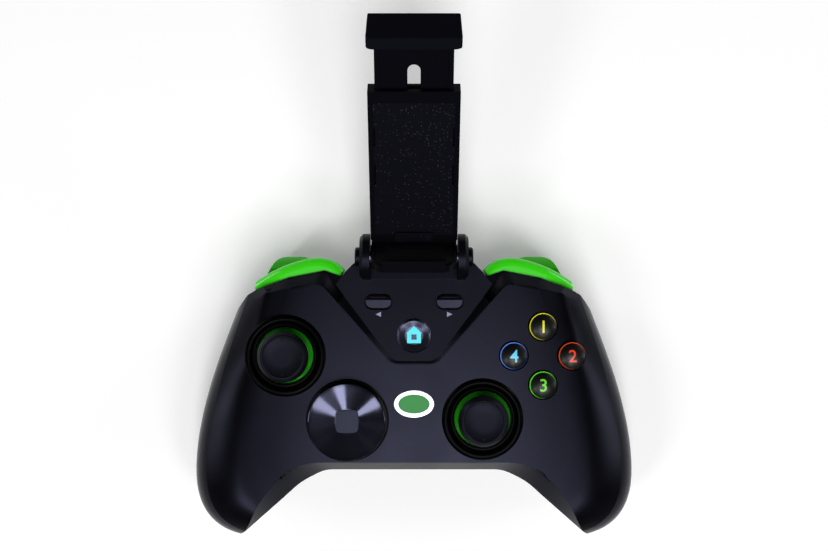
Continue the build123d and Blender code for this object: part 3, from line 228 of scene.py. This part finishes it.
# %% Give each part its finish
wears = {
    face_plastic: ["top_shell"],
    case_plastic: ["rear_shell"],
    panel_plastic: ["centre_panel"],
    silver: ["badge_frame"],
    badge_green: ["badge_inlay"],
    gloss_black: ["left_stick_collar", "right_stick_collar", "dpad_ring"],
    button_plastic: ["button_top", "button_right", "button_bottom", "button_left"],
    trim_green: ["left_stick_trim", "right_stick_trim"],
    stick_rubber: ["left_stick_cap", "right_stick_cap"],
    mechanism_plastic: [
        "left_stick_stem", "right_stick_stem", "left_stick_gimbal", "right_stick_gimbal", "left_stick_carrier",
        "right_stick_carrier", "dpad_gimbal", "dpad_post",
    ],
    steel: [
        "left_stick_module", "right_stick_module", "centre_switches", "left_trigger_pin", "right_trigger_pin",
        "left_rumble_motor", "right_rumble_motor", "left_rumble_weight", "right_rumble_weight", "usb_port",
        "shell_screws", "clip_hinge_bolt", "clip_base_screws", "clip_arm_screws",
    ],
    turned_plastic: ["dpad_disc"],
    membrane_rubber: ["button_membrane"],
    small_plastic: ["back_button", "start_button"],
    home_plastic: ["home_button"],
    bumper_green: ["left_bumper", "right_bumper"],
    trigger_green: ["left_trigger", "right_trigger"],
    board_mask: ["main_board"],
    battery_foil: ["battery"],
    hinge_plastic: ["clip_base", "clip_knobs", "clip_lower_jaw"],
    clip_plastic: ["clip_back_plate", "clip_slider"],
    jaw_plastic_painted_lighter: ["clip_top_jaw"],
    flaked_plastic: ["clip_front_panel"],
    pad_rubber: ["clip_lower_pad", "clip_upper_pad"],
}
for material, names in wears.items():
    for name in names:
        nodes[name].data.materials.clear()
        nodes[name].data.materials.append(material)
dressed = [name for names in wears.values() for name in names]
print("parts with no finish:", sorted(set(nodes) - set(dressed)))

# %% [markdown]
# ## New pieces
#
# A finished bmesh becomes an object at the origin, with its place in its mesh, and rides on the body it is fixed to.
# Edges that bend more than a given angle stay sharp and the rest are shaded smooth.


# %% From a bmesh to a piece
def as_object(name, shape, material, sharp=35):
    mesh = bpy.data.meshes.new(name)
    shape.to_mesh(mesh)
    shape.free()
    mesh.shade_smooth()
    mesh.set_sharp_from_angle(angle=radians(sharp))
    mesh.materials.append(material)
    made = bpy.data.objects.new(name, mesh)
    bpy.context.scene.collection.objects.link(made)
    return made


def new_piece(name, shape, material, body, sharp=35):
    piece = as_object(name, shape, material, sharp)
    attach(piece, body)
    return piece


def merged_copy(name):
    """A bmesh of a CAD part, with its loose triangles joined."""
    shape = bmesh.new()
    shape.from_mesh(nodes[name].data)
    bmesh.ops.remove_doubles(shape, verts=shape.verts, dist=0.002 * mm)
    return shape


def cut_grid(shape, faces, step):
    """Cuts the faces that a test picks along a square grid, so that they can bend."""
    marked = shape.faces.layers.int.new("grid")
    for face in shape.faces:
        face[marked] = int(faces(face))
    places = [vertex.co for face in shape.faces if face[marked] for vertex in face.verts]
    for axis in (0, 1):
        low = min(place[axis] for place in places)
        high = max(place[axis] for place in places)
        normal = Vector((1 - axis, axis, 0))
        at = low + step / 2
        while at < high:
            picked = [face for face in shape.faces if face[marked]]
            edges = {edge for face in picked for edge in face.edges}
            corners = {vertex for face in picked for vertex in face.verts}
            bmesh.ops.bisect_plane(
                shape, geom=picked + list(edges) + list(corners), dist=0.0001 * mm, plane_co=normal * at,
                plane_no=normal,
            )
            at += step
    shape.faces.layers.int.remove(marked)


# %% [markdown]
# ## Crowned top shell
#
# The top shell is the pad's upper half, one injection moulding. Its face is slightly crowned and rolls off into the
# grips with no line to be seen. The CAD face is flat to 48 mm from the middle and stands 0.7 mm above the roll
# there. A merged copy of the shell stands in for it, so that its holes and walls stay those of the CAD. It is cut
# along a fine grid, and whatever stands above the crown is brought down to it.

# %% Crowned top shell
face_height = 40
level_reach = 26
crown_run = 22
crown_drop = 0.6
roll_reach = 62


def crown_height(x):
    """Height of the crown beside the middle: level at first, then falling along a parabola."""
    beyond = max(0.0, abs(x) / mm - level_reach)
    return (face_height - crown_drop * (beyond / crown_run) ** 2) * mm


shape = merged_copy("top_shell")
cut_grid(shape, lambda face: face.normal.z > 0.5 and face.calc_center_median().z > 35 * mm, 2.5 * mm)
for vertex in shape.verts:
    if abs(vertex.co.x) < roll_reach * mm and vertex.co.z > (face_height - 2) * mm:
        vertex.co.z = min(vertex.co.z, crown_height(vertex.co.x))
bmesh.ops.remove_doubles(shape, verts=shape.verts, dist=0.01 * mm)
bmesh.ops.dissolve_degenerate(shape, edges=shape.edges, dist=0.01 * mm)

# %% [markdown]
# A moulded face has no facets, so the skin's normals are averaged over about 5 mm, by area, and only across places
# that are already nearly smooth. The skin is found by spreading from the middle of the face over every edge that
# bends less than 12 degrees, or 30 where both sides are nearly level, so holes, walls and the lip stay crisp. What
# is left of the step lies on the crown and counts as skin too.

# %% Softened normals
smooth_bend = radians(12)
level_bend = radians(30)
skin = shape.faces.layers.int.new("skin")
middle = Vector((0, -36 * mm, face_height * mm))
first = min(shape.faces, key=lambda face: (face.calc_center_median() - middle).length + (face.normal.z < 0.99))
first[skin] = 1
waiting = [first]
while waiting:
    for edge in waiting.pop().edges:
        level = all(face.normal.z > 0.85 for face in edge.link_faces)
        if edge.calc_face_angle(pi) < (level_bend if level else smooth_bend):
            for face in edge.link_faces:
                if not face[skin]:
                    face[skin] = 1
                    waiting.append(face)
for face in shape.faces:
    if all(abs(vertex.co.z - crown_height(vertex.co.x)) < 0.15 * mm for vertex in face.verts):
        face[skin] = 1
patches = [face for face in shape.faces if face[skin]]
finder = KDTree(len(patches))
for i, face in enumerate(patches):
    finder.insert(face.calc_center_median(), i)
finder.balance()
patch_normals = [face.normal.copy() for face in patches]
areas = [face.calc_area() for face in patches]
width = 4.5 * mm
bend_limit = cos(level_bend)
known = {}


def soft_normal(place, own):
    """Mean normal round a place, counting only patches that bend less than 30 degrees from its own face."""
    total = own * 1e-12
    for centre, i, distance in finder.find_range(place, 1.7 * width):
        likeness = patch_normals[i].dot(own) - bend_limit
        if likeness > 0:
            total += patch_normals[i] * (areas[i] * likeness * exp(-((distance / width) ** 2)))
    return total.normalized()


print("top shell: skin of", len(patches), "faces")
softened = new_piece("top_shell_crowned", shape, face_plastic, "casing", 14)
mesh = softened.data
corner_normals = [corner.vector.copy() for corner in mesh.corner_normals]
skin_flags = mesh.attributes["skin"].data
for polygon in mesh.polygons:
    if skin_flags[polygon.index].value:
        own = polygon.normal
        for corner in polygon.loop_indices:
            vertex = mesh.loops[corner].vertex_index
            key = (vertex, round(own.x * 6), round(own.y * 6), round(own.z * 6))
            if key not in known:
                known[key] = soft_normal(mesh.vertices[vertex].co, own)
            corner_normals[corner] = known[key]
mesh.normals_split_custom_set(corner_normals)
mesh.attributes.remove(mesh.attributes["skin"])
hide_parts("top_shell")


# %% [markdown]
# ## Turned pieces
#
# Round pieces are made as a lathe makes them: half of the outline, in mm from the axis and from the table, is spun
# about the axis.


# %% Turned pieces
def spun(profile, centre, steps=72):
    """Turned piece from (radius, height) points in mm.

    A closed outline away from the axis repeats its first point.
    """
    shape = bmesh.new()
    corners = [shape.verts.new((centre.x + radius * mm, centre.y, height * mm)) for radius, height in profile]
    edges = [shape.edges.new(pair) for pair in zip(corners, corners[1:])]
    bmesh.ops.spin(
        shape, geom=corners + edges, cent=centre, axis=(0, 0, 1), dvec=(0, 0, 0), angle=2 * pi, steps=steps,
        use_merge=True,
    )
    bmesh.ops.remove_doubles(shape, verts=shape.verts, dist=0.001 * mm)
    bmesh.ops.recalc_face_normals(shape, faces=shape.faces)
    return shape


# %% [markdown]
# ## Dish with a flat
#
# The thumb rolls round in the direction pad's dish. It is a shallow cone, with its hub and skirt as in the CAD, and
# every one of its sections is the same, so it is spun. The flat at its bottom is a square plate with round corners:
# a small square whose four corners are cut back with a bevel, then extruded.

# %% Dish with a flat
cone_slope = 0.33
dish_profile = [
    (0, 41.9), (4.5, 41.9), (4.5, 32.6), (6.0, 32.6), (6.0, 41.9), (11.3, 41.9), (11.3, 37.0), (12.6, 37.0),
    (13.1, 45.6), (13.05, 45.85), (12.8, 46.0), (12.6, 45.92),
]
for step in range(13):
    out = 12.3 - step * 0.7
    dish_profile.append((out, 43.35 + (out - 4.9) * cone_slope))
dish_profile += [(3.0, 43.0), (0, 43.0)]
dish = new_piece("dpad_dish", spun(dish_profile, dish_centre, 144), turned_plastic, "dpad")
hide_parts("dpad_disc")
shape = bmesh.new()
bmesh.ops.create_grid(shape, x_segments=1, y_segments=1, size=3.8 * mm)
bmesh.ops.bevel(
    shape, geom=shape.verts[:], offset=1.5 * mm, segments=6, profile=0.5, affect="VERTICES", material=-1
)
grown = bmesh.ops.extrude_face_region(shape, geom=shape.faces[:])["geom"]
top = [item for item in grown if isinstance(item, bmesh.types.BMVert)]
bmesh.ops.translate(shape, verts=top, vec=(0, 0, 0.5 * mm))
bmesh.ops.translate(shape, verts=shape.verts, vec=(dish_centre.x, dish_centre.y, 42.95 * mm))
bmesh.ops.recalc_face_normals(shape, faces=shape.faces)
new_piece("dpad_flat", shape, satin_plastic, "dpad")

# %% [markdown]
# ## Stick caps and wells
#
# A thumb stick's cap is rubber moulded over a stem, with a nearly flat top, a thin raised rim and a sloping side.
# It is spun from its outline. Four small arrow marks are moulded on the top, as three-sided studs. Between the
# collar and the green trim lies a black well that slopes inwards.

# %% Stick caps and wells
well_profile = [
    (9.7, 39.0), (9.7, 40.1), (9.8, 40.25), (10.0, 40.28), (10.3, 40.1), (10.8, 40.1), (11.39, 40.4), (11.39, 39.0),
    (9.7, 39.0),
]
cap_profile = [
    (0, 48.0), (3.0, 48.03), (6.5, 48.15), (6.75, 48.3), (6.9, 48.46), (7.15, 48.5), (7.4, 48.38), (7.7, 48.0),
    (8.3, 47.3), (8.55, 46.9), (8.6, 46.5), (8.6, 45.9), (8.45, 45.5), (8.1, 45.3), (3.6, 45.3), (3.6, 43.0),
    (2.4, 43.0), (2.4, 45.9), (0, 45.9),
]
for side in ("left", "right"):
    low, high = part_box(side + "_stick_cap")
    centre = (low + high) / 2
    shape = spun(cap_profile, centre)
    for quarter in range(4):
        turn = Matrix.Rotation(quarter * pi / 2, 4, "Z")
        place = Matrix.Translation((centre.x, centre.y, 48.05 * mm)) @ turn @ Matrix.Translation((5.9 * mm, 0, 0))
        bmesh.ops.create_cone(
            shape, cap_ends=True, segments=3, radius1=0.75 * mm, radius2=0.45 * mm, depth=0.5 * mm, matrix=place
        )
    cap = new_piece(side + "_stick_cap_turned", shape, stick_rubber, side + "_stick")
    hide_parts(side + "_stick_cap")
    new_piece(side + "_stick_well", spun(well_profile, centre), gloss_black, "casing")
print("stick caps:", len(cap.data.polygons), "faces each")

# %% [markdown]
# ## Numbers and rings on the face buttons
#
# Each domed button has a thin coloured ring round its foot and a plain number on top. The real ring is a sleeve of
# clear ABS, and the number is pad printed. The number is made from Blender's own font, turned into a mesh, cut along
# a fine grid and laid on the dome: every point moves to the dome's height at that place. The ring is a small circle
# spun about the button. Its colour is painted light and shade: lighter at the upper left, darker at the lower right.


# %% Rings and numbers
# The side towards which the rings' colour is painted lighter, as painted light.
lit_side = (-0.8, 0.6, 0.0)


def painted_light_ring_finish(name, lit_colour, shaded_colour, centre):
    """Coloured clear plastic with painted light and shade: lighter at the upper left, darker at lower right."""
    material = finish(name, lit_colour, 0.3, shine=0.12, grain_depth_mm=0.0005)
    tree = material.node_tree
    place = add_node(tree, "ShaderNodeTexCoord").outputs["Object"]
    offset = add_node(tree, "ShaderNodeVectorMath", {0: place, 1: centre}, operation="SUBTRACT")
    aside = add_node(
        tree, "ShaderNodeVectorMath", {0: offset.outputs["Vector"], 1: lit_side}, operation="DOT_PRODUCT"
    )
    share = add_node(
        tree, "ShaderNodeMapRange",
        {"Value": aside.outputs["Value"], "From Min": -3.4 * mm, "From Max": 3.0 * mm, "To Min": 0.0, "To Max": 1.0},
    )
    tone = add_node(
        tree, "ShaderNodeMix", {"Factor": share.outputs["Result"], "A": linear(shaded_colour), "B": linear(lit_colour)},
        data_type="RGBA",
    )
    tree.links.new(tone.outputs["Result"], tree.nodes["Principled BSDF"].inputs["Base Color"])
    return material


def ring(centre, radius, wire, height):
    """Round ring: a small upright circle spun about the axis through the centre."""
    shape = bmesh.new()
    place = Matrix.Translation((centre.x + radius * mm, centre.y, height * mm)) @ Matrix.Rotation(pi / 2, 4, "X")
    bmesh.ops.create_circle(shape, cap_ends=False, segments=12, radius=wire * mm, matrix=place)
    bmesh.ops.spin(
        shape, geom=shape.verts[:] + shape.edges[:], cent=centre, axis=(0, 0, 1), dvec=(0, 0, 0), angle=2 * pi,
        steps=72, use_merge=True,
    )
    bmesh.ops.remove_doubles(shape, verts=shape.verts, dist=0.001 * mm)
    bmesh.ops.recalc_face_normals(shape, faces=shape.faces)
    return shape


def flat_text(body, size, weight):
    """Bmesh of a word or number, flat at height 0 and centred on the origin."""
    words = bpy.data.curves.new("words", "FONT")
    words.body = body
    words.size = size * mm
    words.offset = weight * mm
    words.align_x = "CENTER"
    words.align_y = "CENTER"
    holder = bpy.data.objects.new("words", words)
    bpy.context.scene.collection.objects.link(holder)
    bpy.context.view_layer.update()
    mesh = bpy.data.meshes.new_from_object(holder.evaluated_get(bpy.context.evaluated_depsgraph_get()))
    bpy.data.objects.remove(holder)
    shape = bmesh.new()
    shape.from_mesh(mesh)
    bpy.data.meshes.remove(mesh)
    bmesh.ops.remove_doubles(shape, verts=shape.verts, dist=0.001 * mm)
    low = [min(vertex.co[axis] for vertex in shape.verts) for axis in (0, 1)]
    high = [max(vertex.co[axis] for vertex in shape.verts) for axis in (0, 1)]
    middle = Vector(((low[0] + high[0]) / 2, (low[1] + high[1]) / 2, 0))
    bmesh.ops.translate(shape, verts=shape.verts, vec=-middle)
    return shape


dome_foot = 40.3
dome_rise = 1.5
dome_radius = 4.7
dome_sphere = (dome_radius**2 + dome_rise**2) / (2 * dome_rise)
# Each row: number, ink, and the ring's colour where it is painted lit and where it is painted shaded.
button_colours = {
    "top": ("1", "#f0eb14", "#f0eb14", "#141400"),
    "right": ("2", "#f53c14", "#e04818", "#140200"),
    "bottom": ("3", "#6ee11e", "#5ae614", "#021200"),
    "left": ("4", "#6ed7ff", "#5a8cf5", "#0a1e50"),
}
for name, (digit, ink, lit_colour, shaded_colour) in button_colours.items():
    low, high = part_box("button_" + name)
    centre = (low + high) / 2
    body = "button_" + name + "_key"
    band = ring(centre, 4.5, 0.18, dome_foot + 0.14)
    # The ring's colour fades across it as painted light and shade.
    new_piece(name + "_button_ring", band, painted_light_ring_finish(name + " ring, clear ABS", lit_colour, shaded_colour, centre), body)
    shape = flat_text(digit, 6.0, 0.05)
    cut_grid(shape, lambda face: True, 0.5 * mm)
    for vertex in shape.verts:
        drop = dome_sphere - sqrt(dome_sphere**2 - (vertex.co.to_2d().length / mm) ** 2)
        vertex.co += Vector((centre.x, centre.y, (dome_foot + dome_rise - drop + 0.03) * mm))
    if sum(face.normal.z * face.calc_area() for face in shape.faces) < 0:
        bmesh.ops.reverse_faces(shape, faces=shape.faces)
    new_piece(
        name + "_button_number", shape, finish(name + " number, pad print", ink, 0.4, grain_depth_mm=0.001), body
    )
print("numbers and rings on", len(button_colours), "buttons")


# %% [markdown]
# ## Signs on the panel
#
# Each of the two small buttons has a plain arrow under it, and the middle button has a house in cyan with a dark
# window. The real ones are pad printed. Here each sign is a thin plate, so that it shows from any side: a few
# corners make a face, and the face is extruded. The panel slopes down by 6 degrees to the rear, so plates on it are
# tilted as much.


# %% Signs on the panel
panel_slope = 6
small_button_x = 12.3


def plate(corners, thickness):
    """Thin plate from (x, y) corners in mm, with its underside at height 0."""
    shape = bmesh.new()
    face = shape.faces.new([shape.verts.new((x * mm, y * mm, 0)) for x, y in corners])
    grown = bmesh.ops.extrude_face_region(shape, geom=[face])["geom"]
    top = [item for item in grown if isinstance(item, bmesh.types.BMVert)]
    bmesh.ops.translate(shape, verts=top, vec=(0, 0, thickness * mm))
    bmesh.ops.recalc_face_normals(shape, faces=shape.faces)
    return shape


def panel_height(y):
    """Height of the panel in mm, from its front edge at y = -29.4 mm."""
    return 38.8 - (y + 29.4) * tan(radians(panel_slope))


def lay(shape, x, y, lift, tilt=-panel_slope):
    """Moves a plate onto the sloping panel."""
    place = Matrix.Translation((x * mm, y * mm, (panel_height(y) + lift) * mm))
    bmesh.ops.transform(shape, matrix=place @ Matrix.Rotation(radians(tilt), 4, "X"), verts=shape.verts)
    return shape


for side, way in (("back", -1), ("start", 1)):
    arrow = plate([(-0.9, -0.85), (0.9, -0.85), (0.9, 0.85), (-0.9, 0.85)], 0.04)
    bmesh.ops.scale(arrow, vec=(1, 0.02, 1), verts=[v for v in arrow.verts if v.co.x * way > 0])
    bmesh.ops.remove_doubles(arrow, verts=arrow.verts, dist=0.03 * mm)
    bmesh.ops.recalc_face_normals(arrow, faces=arrow.faces)
    new_piece(side + "_sign", lay(arrow, small_button_x * way, -13.4, 0.0), pale_print, "casing")
home_y = -20.7
house = plate([(-2.4, -2.6), (2.4, -2.6), (2.4, 0.8), (2.75, 0.8), (0, 3.4), (-2.75, 0.8), (-2.4, 0.8)], 0.12)
new_piece("home_sign", lay(house, 0, home_y, 0.12, 0), cyan_print, "home_key")
window = plate([(-0.9, -1.4), (0.9, -1.4), (0.9, 0.4), (-0.9, 0.4)], 0.03)
new_piece("home_sign_window", lay(window, 0, home_y, 0.24, 0), home_plastic, "home_key")

# %% [markdown]
# ## Crowns of the small buttons
#
# The two small buttons are satin ABS, with a ridge along them that the thumb can feel: the front slope is lit and the
# rear slope is dark. A circle is pulled apart into a slot and cut along the ridge, then raised. Its top is sloped to
# both sides and its edge is broken.

# %% Crowns of the small buttons
ridge = 0.45 * mm
front_slope, rear_slope = 14, 25
for side, way in (("back", -1), ("start", 1)):
    shape = bmesh.new()
    bmesh.ops.create_circle(shape, cap_ends=True, segments=48, radius=2.38 * mm)
    for vertex in shape.verts:
        vertex.co.x += (2.15 if vertex.co.x > 0 else -2.15) * mm
    whole = shape.faces[:] + shape.edges[:] + shape.verts[:]
    bmesh.ops.bisect_plane(shape, geom=whole, dist=0.001 * mm, plane_co=(0, ridge, 0), plane_no=(0, 1, 0))
    grown = bmesh.ops.extrude_face_region(shape, geom=shape.faces[:])["geom"]
    for vertex in (item for item in grown if isinstance(item, bmesh.types.BMVert)):
        slope = front_slope if vertex.co.y < ridge else rear_slope
        vertex.co.z += 1.75 * mm - tan(radians(slope)) * abs(vertex.co.y - ridge)
    bmesh.ops.recalc_face_normals(shape, faces=shape.faces)
    rim = [edge for edge in shape.edges if sorted(face.normal.z > 0.5 for face in edge.link_faces) == [False, True]]
    bmesh.ops.bevel(
        shape, geom=rim, offset=0.25 * mm, segments=3, profile=0.5, affect="EDGES", material=-1
    )
    new_piece(side + "_button_crown", lay(shape, small_button_x * way, -9.1, -0.6), small_plastic, side + "_key", 10)

# %% [markdown]
# ## Floor
#
# The pad lies on a plain white table that runs far past the picture's edge. Its own faint glow, for the camera and
# for reflections only, lifts it to the photograph's white and leaves the shadow in it.

# %% Floor
floor_glow = 0.15
paper = finish("White paper", "#fafafa", 0.9, shine=0.1)
shape = bmesh.new()
bmesh.ops.create_grid(shape, x_segments=1, y_segments=1, size=3.0)
bmesh.ops.translate(shape, verts=shape.verts, vec=(0, 0, -0.1 * mm))
floor = as_object("floor", shape, paper)
tree = paper.node_tree
path = add_node(tree, "ShaderNodeLightPath")
seen = add_node(
    tree, "ShaderNodeMath",
    {0: path.outputs["Is Camera Ray"], 1: path.outputs["Is Glossy Ray"]}, operation="MAXIMUM",
)
glow = add_node(tree, "ShaderNodeMath", {0: seen.outputs[0], 1: floor_glow}, operation="MULTIPLY")
shader = tree.nodes["Principled BSDF"]
shader.inputs["Emission Color"].default_value = (1, 1, 1, 1)
tree.links.new(glow.outputs[0], shader.inputs["Emission Strength"])

# %% [markdown]
# ## Light
#
# One lamp stands nearly overhead, a little towards the player. Three narrow ones on the player's side draw the
# streaks in the dish, two low ones at the left and right light the edges, and two very low ones catch the rear
# corners. Nothing shines from straight behind, so slopes that face away from the player stay dark. Together they
# light the table at the level at which white looks white: the shares below add up to about pi.


# %% Light
def lamp(name, turn, height, light_on_table, width, length, distance=1.2):
    """Soft lamp aimed at the pad. Turn is measured from +X in the table's plane and height above it, in degrees."""
    aim = Vector((0, -30 * mm, 40 * mm))
    way = Vector((cos(radians(turn)) * cos(radians(height)), sin(radians(turn)) * cos(radians(height)),
                  sin(radians(height))))
    light = bpy.data.lights.new(name, "AREA")
    light.shape = "RECTANGLE"
    light.size, light.size_y = width, length
    light.energy = light_on_table * pi * distance**2 / way.z
    holder = bpy.data.objects.new(name, light)
    bpy.context.scene.collection.objects.link(holder)
    holder.location = aim + way * distance
    holder.rotation_mode = "QUATERNION"
    holder.rotation_quaternion = (-way).to_track_quat("-Z", "Y")


# Name, turn, height, light on the table, width and length.
lamps = [
    ("lamp overhead", -86, 73, 1.35, 0.42, 0.5),
    ("lamp front", -87, 50, 0.4, 0.2, 0.35),
    ("lamp right front", -49, 54, 0.45, 0.25, 0.35),
    ("lamp left front", -140, 48, 0.36, 0.2, 0.35),
    ("lamp right", 0, 20, 0.12, 0.3, 0.2),
    ("lamp left", 180, 20, 0.09, 0.3, 0.2),
    ("lamp rear right", 36, 10, 0.13, 0.3, 0.15),
    ("lamp rear left", 144, 10, 0.13, 0.3, 0.15),
]
for row in lamps:
    lamp(*row)
print("light on the table:", round(sum(row[3] for row in lamps), 2))

world = bpy.data.worlds.new("studio")
world.use_nodes = True
background = world.node_tree.nodes["Background"]
background.inputs["Color"].default_value = (1, 1, 1, 1)
background.inputs["Strength"].default_value = 0.03
bpy.context.scene.world = world

# %% [markdown]
# ## Camera
#
# The photograph looks straight down. Its picture is 828 pixels wide and a 50 mm lens puts 1150 of them to one unit
# of distance, so the camera stands 394 mm above the face.

# %% Camera
camera_data = bpy.data.cameras.new("camera")
camera_data.lens = 50.0
camera_data.sensor_width = 36.0
camera_data.clip_start = 0.01
camera = bpy.data.objects.new("camera", camera_data)
camera.location = (0, 0, 434 * mm)
bpy.context.scene.collection.objects.link(camera)
bpy.context.scene.camera = camera
bpy.context.scene.view_settings.view_transform = "Standard"
